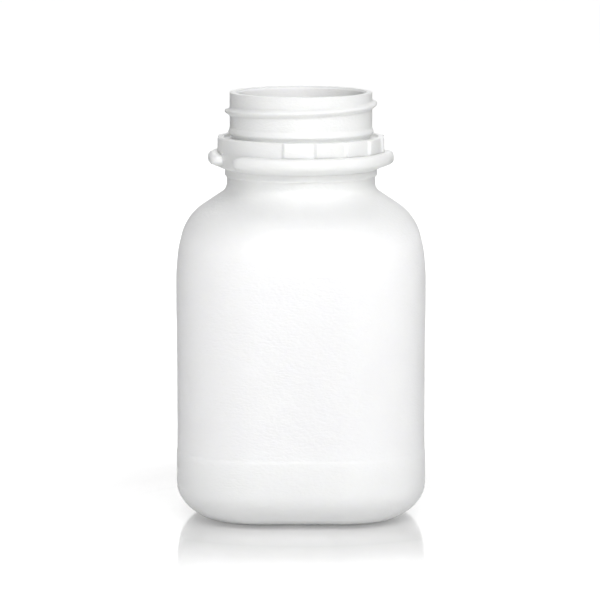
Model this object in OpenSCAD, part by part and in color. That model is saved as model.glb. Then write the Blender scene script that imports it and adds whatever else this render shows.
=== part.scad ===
// Wide-mouth square laboratory bottle, blow-moulded in one piece from natural HDPE.
// Millimetres, +Z up, origin on the floor at the centre of the base, front towards -Y.

/* [Body] */
// Height from the floor to the rim
height = 105; // [98:0.5:130]
// Width of the body, side to side
body_width = 61.3; // [56:0.1:80]
// Depth of the body, front to back
body_depth = 61.3; // [56:0.1:80]
// Radius of the upright corners
corner_r = 20.5; // [15:0.5:24]
// Thinnest wall of the body
wall = 1.15; // [0.8:0.05:1.6]

/* [Base] */
// How far the heel curve reaches in from the side
heel_reach = 13; // [9:0.5:14]
// How far the heel curve rises up the side
heel_rise = 9.6; // [7:0.1:12]
// Width of the flat foot that the bottle stands on
foot_width = 2.4; // [1.5:0.1:4]
// Corner radius of the foot
foot_corner_r = 7; // [5:0.5:9]
// Rise of the hollow under the base
push_up = 2.4; // [1:0.1:3.5]
// Thickness of the base
floor_t = 1.4; // [1:0.1:2]

/* [Label panel] */
// Depth of the recessed label panel
panel_depth = 0.15; // [0.1:0.05:0.5]
// Height of the panel's lower edge
panel_bottom = 17; // [14:0.5:20]
// Height of the panel's lower step
panel_step = 0.7; // [0.4:0.1:1.5]
// Height over which the panel fades out towards the shoulder
panel_fade = 15; // [8:0.5:20]
// Plain band between the fade and the widest line
panel_margin = 4; // [2:0.5:8]

/* [Shoulder] */
// Radius of the soft bulge above the widest line
side_r = 60; // [40:1:90]
// Angle that the soft bulge turns through
side_turn = 7.5; // [4:0.5:10]
// Radius of the shoulder
shoulder_r = 14.4; // [11:0.1:16]
// Slope of the shoulder where it meets the neck
slope_angle = 36.6; // [32:0.1:42]
// Radius between the shoulder and the neck
neck_fillet_r = 3; // [2:0.1:4]

/* [Neck] */
// Diameter of the mouth
bore_d = 31.4; // [30:0.1:32]
// Diameter over the neck wall
neck_d = 35.2; // [34.6:0.1:35.6]
// Diameter of the neck below the transfer ring
root_d = 36.7; // [36.2:0.1:37.2]
// Plain height of the neck below the lower bead
root_h = 1.5; // [1:0.1:4]
// Chamfer inside the mouth
mouth_chamfer = 0.5; // [0.2:0.1:0.8]
// Rounding of the rim's outer edge
rim_r = 0.3; // [0.1:0.05:0.5]

/* [Thread] */
// Diameter over the thread
thread_d = 37.6; // [37.2:0.1:37.8]
// Rise of the thread in one turn
thread_pitch = 3.6; // [3.2:0.05:4.4]
// Depth of the thread's crest below the rim, at the front
thread_drop = 3.8; // [3.4:0.1:4.4]
// Width of the thread's flat crest
thread_crest = 0.5; // [0.2:0.05:0.8]
// Height of the flank above the crest
thread_flank = 0.6; // [0.4:0.05:0.9]
// Height of the slanted underside below the crest
thread_slant = 1; // [0.6:0.05:1.3]
// Angle from the front to the thread's upper end
thread_up = 175; // [120:5:180]
// Angle from the front to the thread's lower end
thread_down = 195; // [120:5:240]
// Angle over which each end runs out
thread_fade = 28; // [15:1:40]

/* [Retention bead] */
// Diameter over the bead
bead_d = 35.9; // [35.7:0.1:36.4]
// Depth of the bead's edge below the rim
bead_drop = 10; // [9:0.1:10.4]
// Height over which the neck flares out to the bead
bead_flare = 1; // [0.6:0.1:2.4]
// Height of the bead's edge
bead_edge = 0.3; // [0.1:0.05:0.5]
// Diameter of the undercut below the bead
undercut_d = 34; // [33.6:0.1:34.6]

/* [Ratchet ring] */
// Diameter of the ring between its teeth
ring_d = 40.5; // [39.8:0.1:41]
// Height of each tooth above the ring
tooth_h = 0.6; // [0.3:0.05:0.8]
// Gap between the top of the ring and the edge of the bead
ring_gap = 0.95; // [0.6:0.05:1.5]
// Height of the ring
ring_h = 3.7; // [3:0.1:5]
// Thickness of the ring's free lip
ring_t = 1.2; // [0.8:0.1:1.5]
// Depth of the groove behind the lip
groove_h = 0.7; // [0.5:0.1:2.2]
// Teeth on each half of the ring
teeth = 6; // [3:1:6]
// Angle from one tooth to the next
tooth_pitch = 22.2; // [21:0.1:23]
// Angle that a tooth's ramp covers
tooth_span = 18; // [12:0.1:18.6]
// Angle that a tooth's steep face covers
tooth_face = 2; // [1:0.1:2.4]
// Angle from the front to the crest of the first tooth
first_tooth = -11.3; // [-14:0.1:-8]

/* [Transfer ring] */
// Diameter over the transfer ring
flange_d = 45.9; // [44:0.1:48]
// Thickness of the transfer ring's nose
flange_t = 2.7; // [2:0.1:3.2]
// Height of the slanted underside
flange_slant = 1.6; // [1:0.1:2.4]
// Diameter over the lower bead
lower_bead_d = 37.7; // [37.4:0.1:38.2]
// Height of the lower bead
lower_bead_h = 1.5; // [1:0.1:2]
// Angle from the front to the middle of the gap in the transfer ring
gap_angle = -61; // [-66:1:-56]
// Width of the gap where it meets the ratchet ring
gap_w = 7; // [5:0.1:8]
// Rounding of the transfer ring's ends at the gap
gap_r = 2.5; // [0.6:0.1:2.6]

/* [Hidden] */

HDPE = [0.95, 0.96, 0.95, 0.92];
ROUND = 144;
CORNER_STEPS = 16;
HEEL_STEPS = 8;
DOME_STEPS = 5;
FADE_STEPS = 6;
SIDE_STEPS = 3;
SHOULDER_STEPS = 8;
FILLET_STEPS = 5;
NOSE_STEPS = 8;
THREAD_STEP = 6;
TOOTH_STEPS = 5;
RIM_STEPS = 3;
END_STEPS = 4;
DOME_CENTRE = 0.12;
RUN_OUT = 0.5;
EDGE = 0.15;
NOSE_LOW = -60;
SINK = 0.5;
GROOVE_R = 0.5;
OVER = 1;
FRONT = -90;
SMOOTH_STRETCH = -40;

bore_r = bore_d / 2;
neck_r = neck_d / 2;
root_r = root_d / 2;
ring_r = ring_d / 2;
flange_r = flange_d / 2;
bead_r = bead_d / 2;
collar_r = undercut_d / 2;
lower_bead_r = lower_bead_d / 2;
half = [body_width / 2, body_depth / 2];
skin = wall + panel_depth;
neck_wall = root_r - bore_r;

// Levels of the neck, from the rim down
bead_z = height - bead_drop;
ring_top = bead_z - ring_gap;
flange_top = ring_top - ring_h;
slant_top = flange_top - flange_t;
flange_bottom = slant_top - flange_slant;
bead_bottom = flange_bottom - lower_bead_h;
bead_step = lower_bead_r - root_r;
shoulder_top = bead_bottom - bead_step - root_h;

// The shoulder's outline: soft bulge, shoulder arc, straight slope, neck fillet
slope_turn = 90 - slope_angle;
side_rise = side_r * sin(side_turn);
side_fall = side_r * (1 - cos(side_turn));
arc_rise = shoulder_r * (sin(slope_turn) - sin(side_turn));
arc_fall = shoulder_r * (cos(side_turn) - cos(slope_turn));
fillet_rise = neck_fillet_r * sin(slope_turn);
fillet_fall = neck_fillet_r * (1 - cos(slope_turn));
slope_fall = half.x - root_r - side_fall - arc_fall - fillet_fall;
slope_rise = slope_fall * tan(slope_angle);
widest = shoulder_top - side_rise - arc_rise - slope_rise - fillet_rise;
fade_top = widest - panel_margin;
fade_bottom = fade_top - panel_fade;

function steps(n) = [for (i = [0:n]) i / n];
function mix(a, b, t) = a + (b - a) * t;
function smooth(t) = t * t * (3 - 2 * t);
function polar(r, angle) = [r * cos(angle), r * sin(angle)];

// One level of the body: a rounded rectangle with half sizes h and corner radius c
function level(h, c, z) = [
    for (quarter = [0:3], i = [0:CORNER_STEPS - 1])
        let (angle = 90 * (quarter + (i + 0.5) / CORNER_STEPS),
             sx = quarter == 0 || quarter == 3 ? 1 : -1,
             sy = quarter < 2 ? 1 : -1)
        [sx * (h.x - c) + c * cos(angle), sy * (h.y - c) + c * sin(angle), z]];

// A level of the body's straight stretch, moved in by inset
function body_level(inset, z) =
    level([half.x - inset, half.y - inset], max(corner_r - inset, foot_corner_r), z);

// A level of the shoulder, which turns from a rounded square into a circle;
// a runs from root_r at the neck to the body's half width, and t is the wall inside it
function shoulder_level(a, z, t) =
    let (share = (a - root_r) / (half.x - root_r),
         h = [a, mix(root_r, half.y, share)],
         c = mix(root_r, corner_r, share))
    level([h.x - t, h.y - t], c - t * c / h.x, z);

// Side faces between levels of equal point count, from one loop of levels; a ring-shaped
// shell closes on itself and a cup ends in two flat faces
function faces(levels, closed) =
    let (n = len(levels[0]), count = len(levels), last = closed ? count : count - 1)
    concat(
        [for (k = [0:last - 1], i = [0:n - 1])
            let (u = (k + 1) % count, j = (i + 1) % n)
            [k * n + j, k * n + i, u * n + i, u * n + j]],
        closed ? [] : [
            [for (i = [0:n - 1]) i],
            [for (i = [n - 1:-1:0]) (count - 1) * n + i]]);

module loft(levels, closed) {
    polyhedron(points = [for (l = levels) each l], faces = faces(levels, closed), convexity = 6);
}

// How deep the label panel lies at height z
function panel(z) =
    z > fade_bottom ? panel_depth * (1 - smooth(min(1, (z - fade_bottom) / panel_fade)))
    : panel_depth * smooth(max(0, min(1, (z - panel_bottom) / panel_step)));

// Heel, foot and push-up, from the side wall down and in to the centre
module base() {
    foot = heel_reach;
    dome = foot + foot_width;
    outer_heel = [for (t = steps(HEEL_STEPS))
        body_level(heel_reach * (1 - cos(90 * t)), heel_rise * (1 - sin(90 * t)))];
    inner_heel = [for (t = steps(HEEL_STEPS))
        body_level(
            heel_reach - (heel_reach - skin) * cos(90 * t),
            heel_rise - (heel_rise - floor_t) * sin(90 * t))];
    dome_share = [for (t = steps(DOME_STEPS)) mix(1, DOME_CENTRE, t)];
    dome_half = [half.x - dome, half.y - dome];
    dome_levels = function (lift) [for (s = dome_share)
        level(dome_half * s, foot_corner_r * s, lift + push_up * (1 - s * s))];
    reversed = function (list) [for (i = [len(list) - 1:-1:0]) list[i]];
    color(HDPE) loft(
        concat(
            reversed(dome_levels(0)),
            reversed(outer_heel),
            inner_heel,
            dome_levels(floor_t)),
        closed = false);
}

// The four upright walls, with the label panel that runs all round
module side_wall() {
    heights = concat(
        [heel_rise, panel_bottom],
        [panel_bottom + panel_step / 2, panel_bottom + panel_step],
        [for (t = steps(FADE_STEPS)) mix(fade_bottom, fade_top, t)],
        [widest]);
    outer = [for (z = heights) body_level(panel(z), z)];
    inner = [for (z = [widest, mix(heel_rise, widest, 0.5), heel_rise]) body_level(skin, z)];
    color(HDPE) loft(concat(outer, inner), closed = true);
}

// The wall grows from the body's to the neck's through the fillet
module shoulder() {
    side_c = [half.x - side_r, widest];
    arc_c = side_c + polar(side_r - shoulder_r, side_turn);
    fillet_c = [root_r + neck_fillet_r, shoulder_top];
    path = concat(
        [for (t = steps(SIDE_STEPS)) concat(side_c + polar(side_r, side_turn * t), [0])],
        [for (t = steps(SHOULDER_STEPS)) if (t > 0)
            concat(arc_c + polar(shoulder_r, mix(side_turn, slope_turn, t)), [0])],
        [for (t = steps(FILLET_STEPS))
            concat(fillet_c - polar(neck_fillet_r, slope_turn * (1 - t)), [t])]);
    inner_path = concat(
        [for (t = steps(SIDE_STEPS)) side_c + polar(side_r - skin, side_turn * t)],
        [for (t = steps(SHOULDER_STEPS)) if (t > 0)
            arc_c + polar(shoulder_r - skin, mix(side_turn, slope_turn, t))],
        [for (t = steps(FILLET_STEPS))
            fillet_c - polar(neck_fillet_r + mix(skin, neck_wall, t), slope_turn * (1 - t))]);
    outer = [for (p = path) shoulder_level(p.x, p.y, 0)];
    inner = [for (i = [len(path) - 1:-1:0])
        shoulder_level(path[i].x, inner_path[i].y, path[i].x - inner_path[i].x)];
    color(HDPE) loft(concat(outer, inner), closed = true);
}

// One raised helical bead, with a flat top side, a slanted underside and run-out ends
module thread() {
    reach = thread_d / 2 - neck_r;
    low = FRONT - thread_down;
    high = FRONT + thread_up;
    angles = [for (a = [low:THREAD_STEP:high]) a];
    crest_top = thread_crest / 2;
    sections = [for (a = angles)
        let (ease = smooth(min(1, min(a - low, high - a) / thread_fade)),
             z = height - thread_drop + thread_pitch * (a - FRONT) / 360,
             crest = neck_r - EDGE + (reach + EDGE) * ease,
             size = mix(RUN_OUT, 1, ease),
             outline = [
                 [neck_r - SINK, crest_top + thread_flank],
                 [crest - EDGE, crest_top + EDGE],
                 [crest, crest_top],
                 [crest, -crest_top],
                 [neck_r - SINK, -crest_top - thread_slant]])
        [for (p = outline) [p.x * cos(a), p.x * sin(a), z + p.y * size]]];
    loft(sections, closed = false);
}

// Tube of the neck: rim, wall, bead, undercut and the part below the transfer ring
module neck() {
    rim = [for (t = steps(RIM_STEPS)) [neck_r - rim_r, height - rim_r] + polar(rim_r, 90 * (1 - t))];
    outline = concat(
        [[bore_r, shoulder_top],
         [bore_r, height - mouth_chamfer],
         [bore_r + mouth_chamfer, height]],
        rim,
        [[neck_r, bead_z + bead_edge + bead_flare],
         [bead_r, bead_z + bead_edge],
         [bead_r, bead_z],
         [collar_r, ring_top - EDGE],
         [collar_r, flange_bottom],
         [lower_bead_r, flange_bottom],
         [lower_bead_r, bead_bottom],
         [root_r, bead_bottom - bead_step],
         [root_r, shoulder_top]]);
    color(HDPE) union() {
        rotate_extrude($fn = ROUND) polygon(outline);
        thread();
    }
}

// Long ramp on the right of a crest and a steep face on its left, up to halfway up the ring's chamfer
module tooth() {
    ramp = [for (t = steps(TOOTH_STEPS))
        polar(ring_r + mix(tooth_h, -EDGE, t), tooth_span * t)];
    root = [for (a = [tooth_span, 0, -tooth_face]) polar(ring_r - SINK, a)];
    linear_extrude(ring_h - EDGE / 2) polygon(concat(ramp, root));
}

// Ring with a free lip, a groove behind it, and ratchet teeth that skip two smooth stretches
module ratchet_ring() {
    lip_r = ring_r - ring_t;
    groove_z = ring_h - groove_h;
    outline = [
        [collar_r, 0],
        [ring_r, 0],
        [ring_r, ring_h - EDGE],
        [ring_r - EDGE, ring_h],
        [lip_r, ring_h],
        [lip_r, groove_z + GROOVE_R],
        [lip_r - GROOVE_R, groove_z],
        [collar_r, groove_z]];
    color(HDPE) translate([0, 0, flange_top]) union() {
        rotate(FRONT + SMOOTH_STRETCH) rotate_extrude($fn = ROUND) polygon(outline);
        for (side = [0, 180], i = [0:teeth - 1])
            rotate(FRONT + first_tooth + side + i * tooth_pitch) tooth();
    }
}

// Plan of the gap in the transfer ring, with the ring's two ends rounded
module gap_plan() {
    end_r = min(gap_r, flange_r - ring_r);
    end = [flange_r - end_r, gap_w / 2 + end_r];
    corner = [for (t = steps(END_STEPS)) end + polar(end_r, -90 * (1 - t))];
    upper = concat([[ring_r, gap_w / 2]], corner, [[flange_r + OVER, end.y]]);
    lower = [for (i = [len(upper) - 1:-1:0]) [upper[i].x, -upper[i].y]];
    polygon(concat(upper, lower));
}

// Wide ring that carries the bottle on the filling line, with a rounded nose
module transfer_ring() {
    nose_r = flange_t / 2;
    nose = [for (t = steps(NOSE_STEPS))
        [flange_r - nose_r, slant_top + nose_r] + polar(nose_r, mix(NOSE_LOW, 90, t))];
    outline = concat(
        [[collar_r, flange_bottom], [lower_bead_r, flange_bottom]],
        nose,
        [[collar_r, flange_top]]);
    color(HDPE) difference() {
        rotate_extrude($fn = ROUND) polygon(outline);
        for (side = [0, 180])
            rotate(FRONT + gap_angle + side)
                translate([0, 0, flange_bottom - OVER])
                    linear_extrude(flange_t + flange_slant + 2 * OVER)
                        gap_plan();
    }
}

base();
side_wall();
shoulder();
neck();
ratchet_ring();
transfer_ring();
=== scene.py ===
import math

import bpy
import numpy as np
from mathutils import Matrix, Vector


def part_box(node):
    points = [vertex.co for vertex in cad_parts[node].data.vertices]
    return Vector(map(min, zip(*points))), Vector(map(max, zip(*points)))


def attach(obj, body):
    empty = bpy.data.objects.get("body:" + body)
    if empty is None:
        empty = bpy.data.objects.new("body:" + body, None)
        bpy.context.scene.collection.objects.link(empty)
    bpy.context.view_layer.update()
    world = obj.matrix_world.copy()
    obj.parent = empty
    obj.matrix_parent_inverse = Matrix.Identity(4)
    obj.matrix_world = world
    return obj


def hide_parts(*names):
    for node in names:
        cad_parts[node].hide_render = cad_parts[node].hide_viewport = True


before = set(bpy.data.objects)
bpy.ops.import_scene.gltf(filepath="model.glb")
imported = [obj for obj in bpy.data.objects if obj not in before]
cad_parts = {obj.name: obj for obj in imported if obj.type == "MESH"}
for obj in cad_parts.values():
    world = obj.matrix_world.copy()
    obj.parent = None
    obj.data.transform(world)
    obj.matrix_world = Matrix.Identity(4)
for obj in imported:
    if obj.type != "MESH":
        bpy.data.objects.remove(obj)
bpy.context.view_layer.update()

# ---------------------------------------------------------------- sizes in millimetres, angles in degrees
MM = 0.001
NODES = ["base", "side_wall", "shoulder", "neck", "ratchet_ring", "transfer_ring"]


def level_of(node, end):
    """Height of a CAD node's underside (end 0) or top (end 1)."""
    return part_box(node)[end].z / MM


HEIGHT = level_of("neck", 1)
SHOULDER_TOP = level_of("shoulder", 1)
WIDEST = level_of("side_wall", 1)
HEEL_RISE = level_of("base", 1)
RING_TOP = level_of("ratchet_ring", 1)
FLANGE_TOP = level_of("ratchet_ring", 0)
FLANGE_BOTTOM = level_of("transfer_ring", 0)

# body
HALF = 30.65
CORNER_R = 20.5
SKIN = 1.3
HEEL_REACH = 13.0
FOOT_WIDTH = 2.4
FOOT_CORNER_R = 7.0
PUSH_UP = 2.4
DOME_SHARES = (1.0, 0.97, 0.92, 0.85, 0.75, 0.6, 0.45, 0.3, 0.15, 0.05)
DOME_EDGE = 0.32
DOME_EDGE_RISE = 0.7
DOME_BOWL_RISE = 0.3
DOME_CORNER = 6
FLOOR_T = 1.4
FLOOR_SHARES = (0.05, 0.2, 0.4, 0.6, 0.8, 1.0)
FLOOR_CORNER = 3
PANEL_DEPTH = 0.15
PANEL_BOTTOM = 17.0
PANEL_STEP = 0.9
PANEL_FADE = 15.0
PANEL_MARGIN = 4.0
FADE_TOP = WIDEST - PANEL_MARGIN
FADE_BOTTOM = FADE_TOP - PANEL_FADE

# shoulder
SIDE_R = 60.0
SIDE_TURN = 7.5
SHOULDER_R = 14.4
SLOPE_TURN = 90 - 36.6
NECK_FILLET_R = 3.0
CORNER_EASE = 0.35
CORNER_STRAIGHT = 0.65

# neck
BORE_R = 15.7
MOUTH_DEPTH = 1.6
MOUTH_CHAMFER = 0.5
MOUTH_EDGE = 0.2
NECK_R = 17.6
ROOT_R = 18.35
BEAD_R = 17.95
BEAD_Z = HEIGHT - 10.0
BEAD_RISE = 0.3
BEAD_DROP = 0.05
BEAD_FLARE = 1.0
COLLAR_R = 17.0
THREAD_REACH = 1.2
THREAD_PITCH = 3.6
THREAD_DROP = 3.8
THREAD_CREST = 0.5
THREAD_FLANK = 0.6
THREAD_SLANT = 1.0
THREAD_UP = 175.0
THREAD_DOWN = 195.0
THREAD_FADE = 28.0
THREAD_FROM_RIM = 0.3
THREAD_FROM_BORE = 0.8

# ratchet ring
RING_R = 20.25
RING_T = 1.2
LIP_R = RING_R - RING_T
LIP_LEAN = 0.2
GROOVE_H = 0.7
TOOTH_H = 0.6
TOOTH_PITCH = 22.2
TOOTH_SPAN = 18.2
TOOTH_FACE = 2.0
FIRST_TOOTH = -11.3
TEETH = 6

# transfer ring
FLANGE_R = 22.95
SLANT_TOP = FLANGE_TOP - 2.7
LOWER_BEAD_R = 18.85
LOWER_BEAD_CUT = 0.1
SLANT = (SLANT_TOP - FLANGE_BOTTOM) / (FLANGE_R - LOWER_BEAD_R + LOWER_BEAD_CUT)
LOWER_BEAD_H = 1.5
LOWER_BEAD_RUN = 0.5
SEAM_IN = 0.05
SEAM_DOWN = 0.02
GAP_ANGLE = -61.0
GAP_W = 7.0
GAP_HALF = math.degrees(math.asin(GAP_W / 2 / RING_R))
NOSE_REACH = 2.6
NOSE_TAPER = 3.6
THINNEST = 0.05

# columns of the mesh: how many, the closest pair, and where they crowd on a tooth and a nose
COLUMNS = 152
COLUMN_MIN = 0.08
TOOTH_MARKS = (1.1, 1, 0.85, 0.5, 0.15, 0, -0.15)
NOSE_MARKS = (-0.02, 0.0, 0.01, 0.03, 0.07, 0.13, 0.2, 0.3, 0.45, 0.6, 0.8, 1.0)


# ---------------------------------------------------------------- helpers
def smooth(t):
    t = np.clip(t, 0.0, 1.0)
    return t * t * (3 - 2 * t)


def ramp(t):
    """A straight rise from 0 to 1 with both of its corners just rounded."""
    t = np.clip(t, 0.0, 1.0)
    return 0.6 * t + 0.4 * smooth(t)


def arc(centre, radius, start, stop, count):
    """Points on an arc, as rows of (r, z), angles in degrees."""
    t = np.radians(np.linspace(start, stop, count))
    return np.stack([centre[0] + radius * np.cos(t), centre[1] + radius * np.sin(t)], 1)


def rounded(corners, spacing=0.45, turns=5):
    """An open outline through (r, z, rounding) corners, with every corner rounded."""
    points = [np.array(corners[0][:2], float)]
    for before, here, after in zip(corners, corners[1:], corners[2:]):
        p, q, s = (np.array(c[:2], float) for c in (before, here, after))
        u, v = (p - q) / np.linalg.norm(p - q), (s - q) / np.linalg.norm(s - q)
        half_angle = math.acos(np.clip(u @ v, -1, 1)) / 2
        reach = here[2] / math.tan(half_angle)
        reach = min(reach, 0.49 * np.linalg.norm(p - q), 0.49 * np.linalg.norm(s - q))
        a, b = q + u * reach, q + v * reach
        for t in np.linspace(0, 1, turns):
            points.append((1 - t) ** 2 * a + 2 * t * (1 - t) * q + t * t * b)
    points.append(np.array(corners[-1][:2], float))
    out = [points[0]]
    for p in points[1:]:
        gap = np.linalg.norm(p - out[-1])
        if gap < 1e-4:
            continue
        parts = max(1, round(gap / spacing))
        start = out[-1]
        out += [start + (p - start) * k / parts for k in range(1, parts + 1)]
    return np.array(out)


def columns():
    """Angles round the bottle from the front, in degrees, closer together at teeth and gaps."""
    angles = list(np.linspace(-180, 180, COLUMNS, endpoint=False))
    for side in (0, 180):
        for k in range(TEETH):
            crest = FIRST_TOOTH + side + k * TOOTH_PITCH
            angles += [crest - TOOTH_FACE * s for s in TOOTH_MARKS]
            angles += [crest + TOOTH_SPAN]
        step = math.degrees(NOSE_TAPER / RING_R)
        for sign in (-1, 1):
            angles += [GAP_ANGLE + side + sign * (GAP_HALF + step * s) for s in NOSE_MARKS]
    angles = sorted((a + 180) % 360 - 180 for a in angles)
    kept = [angles[0]]
    for a in angles[1:]:
        if a - kept[-1] > COLUMN_MIN:
            kept.append(a)
    return np.array(kept)


FRONT_ANGLE = columns()
THETA = np.radians(FRONT_ANGLE - 90)


def round_square(half, corner):
    """Radius in every column of a square with rounded corners; rows are levels."""
    half, corner = np.asarray(half)[:, None], np.asarray(corner)[:, None]
    c, s = np.abs(np.cos(THETA))[None, :], np.abs(np.sin(THETA))[None, :]
    m = half - corner
    flat = half / np.maximum(c, s)
    on_flat = flat * np.minimum(c, s) <= m
    inside = (m * (c + s)) ** 2 - 2 * m * m + corner * corner
    turned = m * (c + s) + np.sqrt(np.maximum(inside, 0))
    return np.where(on_flat, flat, turned)


# ---------------------------------------------------------------- features of the neck
def thread_at(z):
    """How far the thread stands out at height z, in every column; rows are levels."""
    z = np.asarray(z)[:, None]
    out = np.zeros((len(z), len(FRONT_ANGLE)))
    for turn in (-360, 0, 360):
        a = (FRONT_ANGLE + turn)[None, :]
        ease = smooth(np.minimum(a + THREAD_DOWN, THREAD_UP - a) / THREAD_FADE)
        s = z - (HEIGHT - THREAD_DROP + THREAD_PITCH * a / 360)
        top = ramp((THREAD_CREST / 2 + THREAD_FLANK - s) / THREAD_FLANK)
        under = ramp((s + THREAD_CREST / 2 + THREAD_SLANT) / THREAD_SLANT)
        out = np.maximum(out, THREAD_REACH * ease * top * under)
    return out


def tooth_at():
    """How far the ratchet teeth stand out in every column."""
    out = np.zeros(len(FRONT_ANGLE))
    for side in (0, 180):
        for k in range(TEETH):
            crest = FIRST_TOOTH + side + k * TOOTH_PITCH
            a = (FRONT_ANGLE - crest + 180) % 360 - 180
            back = np.where((a >= 0) & (a <= TOOTH_SPAN), 1 - a / TOOTH_SPAN, 0)
            face = np.where((a < 0) & (a > -TOOTH_FACE), 1 + a / TOOTH_FACE, 0)
            out = np.maximum(out, TOOTH_H * (back + face))
    return out


def nose_at(length):
    """Share of the transfer ring in every column: 0 in its two gaps, then a round end."""
    out = np.ones(len(FRONT_ANGLE))
    for side in (0, 180):
        a = np.abs((FRONT_ANGLE - GAP_ANGLE - side + 180) % 360 - 180) - GAP_HALF
        s = np.clip(np.radians(a) * RING_R / length, 0, 1)
        out = np.minimum(out, np.sqrt(1 - (1 - s) ** 2))
    return out


# ---------------------------------------------------------------- levels of the bottle
def upper_levels():
    """From the mouth over the rim and down to the foot of the ratchet ring."""
    outline = rounded([
        (BORE_R, HEIGHT - MOUTH_DEPTH, 0),
        (BORE_R, HEIGHT - MOUTH_CHAMFER, 0.3),
        (BORE_R + MOUTH_CHAMFER, HEIGHT, 0.15),
        (NECK_R, HEIGHT, 0.12),
        (NECK_R, BEAD_Z + BEAD_RISE + BEAD_FLARE, 0.8),
        (BEAD_R, BEAD_Z + BEAD_RISE, 0.15),
        (BEAD_R, BEAD_Z - BEAD_DROP, 0.15),
        (COLLAR_R, RING_TOP, 0.5),
        (COLLAR_R, RING_TOP - GROOVE_H, 0.5),
        (LIP_R - LIP_LEAN, RING_TOP - GROOVE_H, 0.4),
        (LIP_R, RING_TOP, 0.16),
        (RING_R, RING_TOP, 0.18),
        (RING_R, FLANGE_TOP, 0),
    ], spacing=0.23)
    r, z = outline[:, 0], outline[:, 1]
    radius = np.repeat(r[:, None], len(THETA), 1)
    on_wall = (z < HEIGHT - THREAD_FROM_RIM) & (z > BEAD_Z + BEAD_RISE)
    on_wall &= r > BORE_R + THREAD_FROM_BORE
    radius += thread_at(z) * on_wall[:, None]
    on_ring = (z <= RING_TOP + 0.01) & (r > LIP_R) & (z > FLANGE_TOP - 0.01)
    share = np.clip((r - LIP_R) / (RING_R - LIP_R), 0, 1) * on_ring
    radius += tooth_at()[None, :] * share[:, None]
    return radius, np.repeat(z[:, None], len(THETA), 1)


def flange_levels():
    """The transfer ring, which shrinks to a round end at each side of its gaps."""
    under = SLANT_TOP - (FLANGE_R - RING_R) * SLANT
    outline = rounded([
        (RING_R, FLANGE_TOP - SEAM_DOWN, 0),
        (FLANGE_R, FLANGE_TOP, 1.3),
        (FLANGE_R, SLANT_TOP, 1.2),
        (RING_R, under, 0),
    ], spacing=0.3)
    middle = (FLANGE_TOP + under) / 2
    reach, taper = nose_at(NOSE_REACH), nose_at(NOSE_TAPER)
    taper = np.where(taper > 0, np.maximum(taper, THINNEST), 1)
    radius = RING_R + (outline[:, :1] - RING_R) * reach[None, :]
    return radius, middle + (outline[:, 1:] - middle) * taper[None, :]


def root_levels():
    """From the transfer ring's underside over the lower bead and down to the shoulder."""
    start = SLANT_TOP - (FLANGE_R - RING_R + SEAM_IN) * SLANT - SEAM_DOWN
    outline = rounded([
        (RING_R - SEAM_IN, start, 0),
        (LOWER_BEAD_R - LOWER_BEAD_CUT, FLANGE_BOTTOM, 0.3),
        (LOWER_BEAD_R, FLANGE_BOTTOM - LOWER_BEAD_H, 0.2),
        (ROOT_R, FLANGE_BOTTOM - LOWER_BEAD_H - LOWER_BEAD_RUN, 0.4),
        (ROOT_R, SHOULDER_TOP, 0),
    ], spacing=0.25)
    radius = np.repeat(outline[:, :1], len(THETA), 1)
    return radius, np.repeat(outline[:, 1:], len(THETA), 1)


def shoulder_path(skin_low, skin_high):
    """(half width, height) of the shoulder's wall from the neck down; skins are 0 outside."""
    side_c = np.array([HALF - SIDE_R, WIDEST])
    turn = math.radians(SIDE_TURN)
    arc_c = side_c + (SIDE_R - SHOULDER_R) * np.array([math.cos(turn), math.sin(turn)])
    fillet_c = np.array([ROOT_R + NECK_FILLET_R, SHOULDER_TOP])
    count = 9
    t = np.radians(np.linspace(0, SLOPE_TURN, count))
    radius = NECK_FILLET_R + np.linspace(skin_high, skin_low, count)
    fillet = fillet_c - np.stack([radius * np.cos(t), radius * np.sin(t)], 1)
    shoulder = arc(arc_c, SHOULDER_R - skin_low, SLOPE_TURN, SIDE_TURN, 16)
    slope = fillet[-1] + (shoulder[0] - fillet[-1]) * np.linspace(0, 1, 7)[1:-1, None]
    side = arc(side_c, SIDE_R - skin_low, SIDE_TURN, 0, 8)[1:]
    return np.concatenate([fillet, slope, shoulder, side])


def shoulder_levels(inside):
    outer = shoulder_path(0, 0)
    along = (outer[:, 0] - ROOT_R) / (HALF - ROOT_R)
    share = smooth(along) * CORNER_EASE + along * CORNER_STRAIGHT
    corner = ROOT_R + (CORNER_R - ROOT_R) * share
    corner = np.minimum(corner, outer[:, 0])
    if not inside:
        return round_square(outer[:, 0], corner), outer[:, 1]
    inner = shoulder_path(SKIN, ROOT_R - BORE_R)
    ratio = inner[:, 0] / outer[:, 0]
    return round_square(inner[:, 0], corner * ratio), inner[:, 1]


def panel(z):
    fade = PANEL_DEPTH * (1 - smooth((z - FADE_BOTTOM) / PANEL_FADE))
    step = PANEL_DEPTH * smooth((z - PANEL_BOTTOM) / PANEL_STEP)
    return np.where(z > FADE_BOTTOM, fade, step)


def wall_levels():
    """Outside of the four walls, from the widest line down to the heel."""
    z = np.concatenate([
        np.linspace(WIDEST, FADE_BOTTOM, 12)[1:],
        np.linspace(FADE_BOTTOM, PANEL_BOTTOM + PANEL_STEP, 6)[1:],
        np.linspace(PANEL_BOTTOM + PANEL_STEP, PANEL_BOTTOM, 6)[1:],
        np.linspace(PANEL_BOTTOM, HEEL_RISE, 6)[1:],
    ])
    inset = panel(z)
    return round_square(HALF - inset, CORNER_R - inset), z


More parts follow.
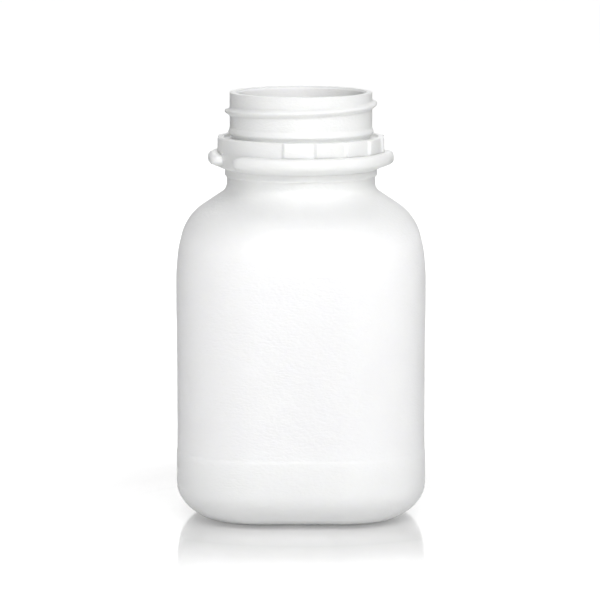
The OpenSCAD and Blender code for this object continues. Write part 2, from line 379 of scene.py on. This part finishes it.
def base_levels():
    """Outside of the heel, foot and push-up, in to the centre."""
    t = np.radians(np.linspace(0, 90, 18)[1:])
    inset = HEEL_REACH * (1 - np.cos(t))
    heel = round_square(HALF - inset, np.maximum(CORNER_R - inset, FOOT_CORNER_R))
    heel_z = HEEL_RISE * (1 - np.sin(t))
    half = HALF - HEEL_REACH - FOOT_WIDTH
    share = np.array(DOME_SHARES)
    edge = PUSH_UP * smooth((1 - share) / DOME_EDGE) * DOME_EDGE_RISE
    rise = edge + PUSH_UP * DOME_BOWL_RISE * (1 - share ** 2)
    corner = FOOT_CORNER_R * share + DOME_CORNER * share * (1 - share)
    corner = np.minimum(corner, half * share)
    dome = round_square(half * share, corner)
    return np.concatenate([heel, dome]), np.concatenate([heel_z, rise])


def inner_levels():
    """Inside of the bottle, from the base's centre up to the mouth."""
    half = HALF - HEEL_REACH - FOOT_WIDTH
    share = np.array(FLOOR_SHARES)
    corner = np.minimum(FOOT_CORNER_R * share + FLOOR_CORNER * share, half * share)
    floor = round_square(half * share, corner)
    floor_z = FLOOR_T + PUSH_UP * (1 - share ** 2)
    t = np.radians(np.linspace(90, 0, 9))
    inset = HEEL_REACH - (HEEL_REACH - SKIN) * np.cos(t)
    heel = round_square(HALF - inset, np.maximum(CORNER_R - inset, FOOT_CORNER_R))
    heel_z = HEEL_RISE - (HEEL_RISE - FLOOR_T) * np.sin(t)
    wall_z = np.linspace(HEEL_RISE, WIDEST, 9)[1:-1]
    wall = round_square(np.full(len(wall_z), HALF - SKIN), np.full(len(wall_z), CORNER_R - SKIN))
    shoulder, shoulder_z = shoulder_levels(inside=True)
    neck_z = np.linspace(SHOULDER_TOP, HEIGHT - MOUTH_DEPTH, 12)[1:-1]
    neck = np.full((len(neck_z), len(THETA)), BORE_R)
    return (
        np.concatenate([floor, heel, wall, shoulder[::-1], neck]),
        np.concatenate([floor_z, heel_z, wall_z, shoulder_z[::-1], neck_z]),
    )


# ---------------------------------------------------------------- the bottle's mesh
def add_mesh(name, points, faces):
    mesh = bpy.data.meshes.new(name)
    mesh.from_pydata([tuple(p) for p in points], [], [tuple(f) for f in faces])
    mesh.validate()
    mesh.update()
    mesh.shade_smooth()
    piece = bpy.data.objects.new(name, mesh)
    bpy.context.scene.collection.objects.link(piece)
    return piece


def make_bottle():
    """One closed skin: over the rim, down the outside, in under the base and up the inside."""
    shoulder, shoulder_z = shoulder_levels(inside=False)
    blocks = [
        upper_levels(),
        flange_levels(),
        root_levels(),
        (shoulder[1:], shoulder_z[1:]),
        wall_levels(),
        base_levels(),
        inner_levels(),
    ]
    radius, height = [], []
    for r, z in blocks:
        radius.append(r)
        height.append(z if z.ndim == 2 else np.repeat(z[:, None], len(THETA), 1))
    split = sum(len(r) for r in radius[:-1])
    radius, height = np.concatenate(radius), np.concatenate(height)
    rows, n = radius.shape
    x, y = radius * np.cos(THETA), radius * np.sin(THETA)
    points = np.stack([x, y, height], 2).reshape(-1, 3) * MM
    faces = []
    for k in range(rows):
        nxt = (k + 1) % rows
        if nxt == split:
            continue
        for i in range(n):
            j = (i + 1) % n
            faces.append((k * n + i, nxt * n + i, nxt * n + j, k * n + j))
    # The two caps at the axis both face into the wall: reversed() belongs on the first.
    faces.append(tuple((split - 1) * n + i for i in range(n)))
    faces.append(tuple(split * n + i for i in reversed(range(n))))
    return add_mesh("bottle", points, faces)


# ---------------------------------------------------------------- materials, in metres
TINT_LOW = (0.91, 0.915, 0.91, 1)
TINT_HIGH = (0.95, 0.955, 0.95, 1)
# painted shade: a grey multiplied into the colour from the upper shoulder up through the neck, and down
# the heel
PAINTED_SHADE_TINT = (0.93, 0.93, 0.93, 1)
# painted light: a lighter white for everything closer to the axis than the bore's edge, such as the
# inside of the mouth
MOUTH_PAINTED_LIGHT = (0.99, 0.99, 0.985, 1)
# heights in metres where the painted shade starts and where it is full: up the shoulder, and down the
# heel
PAINTED_SHADE_ZONES = ((0.068, 0.084), (0.024, 0.010))
CLOUD_SCALE = 60
PEEL_SCALE = 1100
PEEL_STRENGTH = 0.35
PEEL_DEPTH = 0.0003
PEEL_STRETCH = 2.2
RIPPLE_SCALE = 300
RIPPLE_STRENGTH = 0.12
RIPPLE_DEPTH = 0.0006
GLOSS_RANGE = (0.38, 0.52)
HDPE_IOR = 1.54
SCATTER_RADIUS = (1.0, 1.0, 0.95)
SCATTER_DEPTH = 0.0015
AMBIENT = 0.0
FLOOR_GREY = (0.8, 0.8, 0.8, 1)
FLOOR_LIFT = 0.5
LIFT_NEAR = 0.06
LIFT_FAR = 0.13
MIRROR_FOOT = 0.5
MIRROR_PEAK = 0.7
MIRROR_ROUGHNESS = 0.08
FOOT_AT = 0.02
PEAK_AT = 0.047
MIRROR_END = 0.125

# sockets of the Mix node when it mixes colours
MIX_A = 6
MIX_B = 7
MIX_RESULT = 2


def new_material(name):
    material = bpy.data.materials.new(name)
    material.use_nodes = True
    tree = material.node_tree
    tree.nodes.clear()
    return material, tree, tree.nodes.new("ShaderNodeOutputMaterial")


def hdpe_colour(tree, where):
    """A faint cloud of whites, with painted shade from the upper shoulder up through the neck and down
    the heel, and painted light within the bore's radius.
    """
    link, add = tree.links.new, tree.nodes.new
    cloud = add("ShaderNodeTexNoise")
    cloud.inputs["Scale"].default_value = CLOUD_SCALE
    cloud.inputs["Detail"].default_value = 3
    tint = add("ShaderNodeMix")
    tint.data_type = "RGBA"
    tint.inputs[MIX_A].default_value = TINT_LOW
    tint.inputs[MIX_B].default_value = TINT_HIGH
    link(where.outputs["Object"], cloud.inputs["Vector"])
    link(cloud.outputs["Fac"], tint.inputs[0])
    axes = add("ShaderNodeSeparateXYZ")
    link(where.outputs["Object"], axes.inputs[0])
    zones = []
    for shade_from, shade_full in PAINTED_SHADE_ZONES:
        zone = add("ShaderNodeMapRange")
        zone.interpolation_type = "SMOOTHSTEP"
        zone.inputs["From Min"].default_value = shade_from
        zone.inputs["From Max"].default_value = shade_full
        link(axes.outputs["Z"], zone.inputs["Value"])
        zones.append(zone)
    both = add("ShaderNodeMath")
    both.operation = "MAXIMUM"
    link(zones[0].outputs[0], both.inputs[0])
    link(zones[1].outputs[0], both.inputs[1])
    # painted shade: the grey is multiplied into the colour in those zones
    painted_shade = add("ShaderNodeMix")
    painted_shade.data_type = "RGBA"
    painted_shade.blend_type = "MULTIPLY"
    painted_shade.inputs[MIX_B].default_value = PAINTED_SHADE_TINT
    link(both.outputs[0], painted_shade.inputs[0])
    link(tint.outputs[MIX_RESULT], painted_shade.inputs[MIX_A])
    plan = add("ShaderNodeVectorMath")
    plan.operation = "MULTIPLY"
    plan.inputs[1].default_value = (1, 1, 0)
    link(where.outputs["Object"], plan.inputs[0])
    reach = add("ShaderNodeVectorMath")
    reach.operation = "LENGTH"
    link(plan.outputs[0], reach.inputs[0])
    # painted light: the lighter white goes on everything within the bore's edge in plan
    mouth = add("ShaderNodeMath")
    mouth.operation = "LESS_THAN"
    mouth.inputs[1].default_value = (BORE_R + MOUTH_EDGE) * MM
    link(reach.outputs["Value"], mouth.inputs[0])
    clear = add("ShaderNodeMix")
    clear.data_type = "RGBA"
    clear.inputs[MIX_B].default_value = MOUTH_PAINTED_LIGHT
    link(mouth.outputs[0], clear.inputs[0])
    link(painted_shade.outputs[MIX_RESULT], clear.inputs[MIX_A])
    return clear.outputs[MIX_RESULT]


def hdpe_relief(tree, where):
    """Roughness that follows a wide ripple, and a normal with a fine peel over that ripple."""
    link, add = tree.links.new, tree.nodes.new
    peel = add("ShaderNodeTexNoise")
    peel.inputs["Scale"].default_value = PEEL_SCALE
    peel.inputs["Detail"].default_value = 2
    ripple = add("ShaderNodeTexNoise")
    ripple.inputs["Scale"].default_value = RIPPLE_SCALE
    ripple.inputs["Detail"].default_value = 2
    satin = add("ShaderNodeMapRange")
    satin.inputs["To Min"].default_value = GLOSS_RANGE[0]
    satin.inputs["To Max"].default_value = GLOSS_RANGE[1]
    link(ripple.outputs["Fac"], satin.inputs["Value"])
    fine = add("ShaderNodeBump")
    fine.inputs["Strength"].default_value = PEEL_STRENGTH
    fine.inputs["Distance"].default_value = PEEL_DEPTH
    wide = add("ShaderNodeBump")
    wide.inputs["Strength"].default_value = RIPPLE_STRENGTH
    wide.inputs["Distance"].default_value = RIPPLE_DEPTH
    stretch = add("ShaderNodeVectorMath")
    stretch.operation = "MULTIPLY"
    stretch.inputs[1].default_value = (1, 1, PEEL_STRETCH)
    link(where.outputs["Object"], stretch.inputs[0])
    link(stretch.outputs[0], peel.inputs["Vector"])
    link(stretch.outputs[0], ripple.inputs["Vector"])
    link(ripple.outputs["Fac"], wide.inputs["Height"])
    link(peel.outputs["Fac"], fine.inputs["Height"])
    link(wide.outputs["Normal"], fine.inputs["Normal"])
    return satin.outputs[0], fine.outputs["Normal"]


def hdpe_material():
    """Natural polyethylene: milky, softly glossy, with a faint blow-moulded ripple."""
    material, tree, out = new_material("natural_hdpe")
    link = tree.links.new
    shader = tree.nodes.new("ShaderNodeBsdfPrincipled")
    where = tree.nodes.new("ShaderNodeTexCoord")
    link(hdpe_colour(tree, where), shader.inputs["Base Color"])
    shader.inputs["IOR"].default_value = HDPE_IOR
    shader.inputs["Subsurface Weight"].default_value = 1.0
    shader.inputs["Subsurface Radius"].default_value = SCATTER_RADIUS
    shader.inputs["Subsurface Scale"].default_value = SCATTER_DEPTH
    roughness, normal = hdpe_relief(tree, where)
    link(roughness, shader.inputs["Roughness"])
    link(normal, shader.inputs["Normal"])
    link(shader.outputs[0], out.inputs["Surface"])
    return material


def floor_material():
    """White acrylic whose mirror is weaker at the foot, strongest just off it, then fades."""
    material, tree, out = new_material("white_floor")
    link, add = tree.links.new, tree.nodes.new
    where = add("ShaderNodeTexCoord")
    flat = add("ShaderNodeVectorMath")
    flat.operation = "LENGTH"
    link(where.outputs["Object"], flat.inputs[0])

    def by_distance(near, far, near_value, far_value):
        level = add("ShaderNodeMapRange")
        level.inputs["From Min"].default_value = near
        level.inputs["From Max"].default_value = far
        level.inputs["To Min"].default_value = near_value
        level.inputs["To Max"].default_value = far_value
        link(flat.outputs["Value"], level.inputs["Value"])
        return level.outputs[0]

    path = add("ShaderNodeLightPath")

    def seen_by_camera(value):
        product = add("ShaderNodeMath")
        product.operation = "MULTIPLY"
        link(value, product.inputs[0])
        link(path.outputs["Is Camera Ray"], product.inputs[1])
        return product.outputs[0]

    matte = add("ShaderNodeBsdfDiffuse")
    matte.inputs["Color"].default_value = FLOOR_GREY
    glow = add("ShaderNodeEmission")
    lift = by_distance(LIFT_NEAR, LIFT_FAR, FLOOR_LIFT, 1.0)
    link(seen_by_camera(lift), glow.inputs["Strength"])
    white = add("ShaderNodeAddShader")
    link(matte.outputs[0], white.inputs[0])
    link(glow.outputs[0], white.inputs[1])
    mirror = add("ShaderNodeBsdfGlossy")
    mirror.inputs["Color"].default_value = (1, 1, 1, 1)
    mirror.inputs["Roughness"].default_value = MIRROR_ROUGHNESS
    mix = add("ShaderNodeMixShader")
    share = add("ShaderNodeMath")
    share.operation = "MULTIPLY"
    link(by_distance(FOOT_AT, PEAK_AT, MIRROR_FOOT, MIRROR_PEAK), share.inputs[0])
    link(by_distance(PEAK_AT, MIRROR_END, 1.0, 0.0), share.inputs[1])
    link(seen_by_camera(share.outputs[0]), mix.inputs[0])
    link(white.outputs[0], mix.inputs[1])
    link(mirror.outputs[0], mix.inputs[2])
    link(mix.outputs[0], out.inputs["Surface"])
    return material


# ---------------------------------------------------------------- studio
CAMERA_DISTANCE = 1.05
CAMERA_HEIGHT = 0.1941
CAMERA_PITCH = 7.645
FOCAL_PX = 4270
IMAGE_PX = 600
SENSOR_MM = 36
CLIP_START = 0.05
FLOOR_HALF = 2
LAMP_DISTANCE = 0.9
AIM_Z = 0.06

# name, azimuth and elevation in degrees, width and height in metres, power in watts
LAMPS = (
    ("front", 9, 8, 0.4, 0.2, 2.0),
    ("key", 0, 42, 0.5, 0.4, 3.95),
    ("key_right", 44, 39, 0.5, 0.4, 2.1),
    ("top_back", 180, 72, 0.5, 0.5, 0.9),
    ("back", 180, 38, 0.5, 0.3, 1.5),
    ("back_right", 135, 12, 0.4, 0.2, 0.2),
)
# two small lamps close beside the bottle: name, side, power in watts
NEAR_LAMPS = (("near_left", -1, 0.025), ("near_right", 1, 0.011))
NEAR_PLACE = (0.11, -0.04, 0.05)
NEAR_SIZE = (0.1, 0.05)


def make_camera():
    data = bpy.data.cameras.new("camera")
    data.sensor_width = SENSOR_MM
    data.lens = FOCAL_PX / IMAGE_PX * SENSOR_MM
    data.shift_x = -1 / IMAGE_PX
    data.clip_start = CLIP_START
    camera = bpy.data.objects.new("camera", data)
    camera.location = (0, -CAMERA_DISTANCE, CAMERA_HEIGHT)
    camera.rotation_euler = (math.radians(90 - CAMERA_PITCH), 0, 0)
    bpy.context.scene.collection.objects.link(camera)
    bpy.context.scene.camera = camera


def area_light(name, place, width, height, power):
    """A soft box at a place, turned towards the bottle and hidden from the camera."""
    data = bpy.data.lights.new(name, "AREA")
    data.shape = "RECTANGLE"
    data.size = width
    data.size_y = height
    data.energy = power
    lamp = bpy.data.objects.new(name, data)
    lamp.location = place
    lamp.visible_camera = False
    bpy.context.scene.collection.objects.link(lamp)
    aim = Vector((0, 0, AIM_Z)) - Vector(place)
    lamp.rotation_euler = aim.to_track_quat("-Z", "Y").to_euler()
    return lamp


def around(azimuth, elevation):
    """A place round the bottle: azimuth 0 is the camera's side, positive to the right."""
    a, e = math.radians(azimuth), math.radians(elevation)
    return (
        LAMP_DISTANCE * math.cos(e) * math.sin(a),
        -LAMP_DISTANCE * math.cos(e) * math.cos(a),
        AIM_Z + LAMP_DISTANCE * math.sin(e),
    )


def make_world():
    world = bpy.data.worlds.new("studio")
    bpy.context.scene.world = world
    world.use_nodes = True
    tree = world.node_tree
    tree.nodes.clear()
    add, link = tree.nodes.new, tree.links.new
    out = add("ShaderNodeOutputWorld")
    back = add("ShaderNodeBackground")
    path = add("ShaderNodeLightPath")
    seen = add("ShaderNodeMath")
    seen.operation = "MAXIMUM"
    link(path.outputs["Is Camera Ray"], seen.inputs[0])
    link(path.outputs["Is Glossy Ray"], seen.inputs[1])
    clear = add("ShaderNodeMath")
    clear.operation = "MAXIMUM"
    link(seen.outputs[0], clear.inputs[0])
    link(path.outputs["Is Transmission Ray"], clear.inputs[1])
    level = add("ShaderNodeMapRange")
    level.inputs["To Min"].default_value = AMBIENT
    level.inputs["To Max"].default_value = 1.0
    link(clear.outputs[0], level.inputs["Value"])
    link(level.outputs[0], back.inputs["Strength"])
    back.inputs["Color"].default_value = (1, 1, 1, 1)
    link(back.outputs[0], out.inputs["Surface"])


def make_plane(name, corners, material):
    plane = add_mesh(name, corners, [(0, 1, 2, 3)])
    plane.data.materials.append(material)
    return plane


def make_studio():
    make_world()
    signs = ((-1, -1), (1, -1), (1, 1), (-1, 1))
    make_plane("floor", [(x * FLOOR_HALF, y * FLOOR_HALF, 0) for x, y in signs], floor_material())
    for name, azimuth, elevation, width, height, power in LAMPS:
        area_light(name, around(azimuth, elevation), width, height, power)
    out, front, up = NEAR_PLACE
    for name, side, power in NEAR_LAMPS:
        near = area_light(name, (side * out, front, up), *NEAR_SIZE, power)
        near.visible_glossy = False


# ---------------------------------------------------------------- build
make_camera()
make_studio()
bottle = make_bottle()
bottle.data.materials.append(hdpe_material())
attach(bottle, "root")
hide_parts(*NODES)

scene = bpy.context.scene
scene.view_settings.view_transform = "Standard"
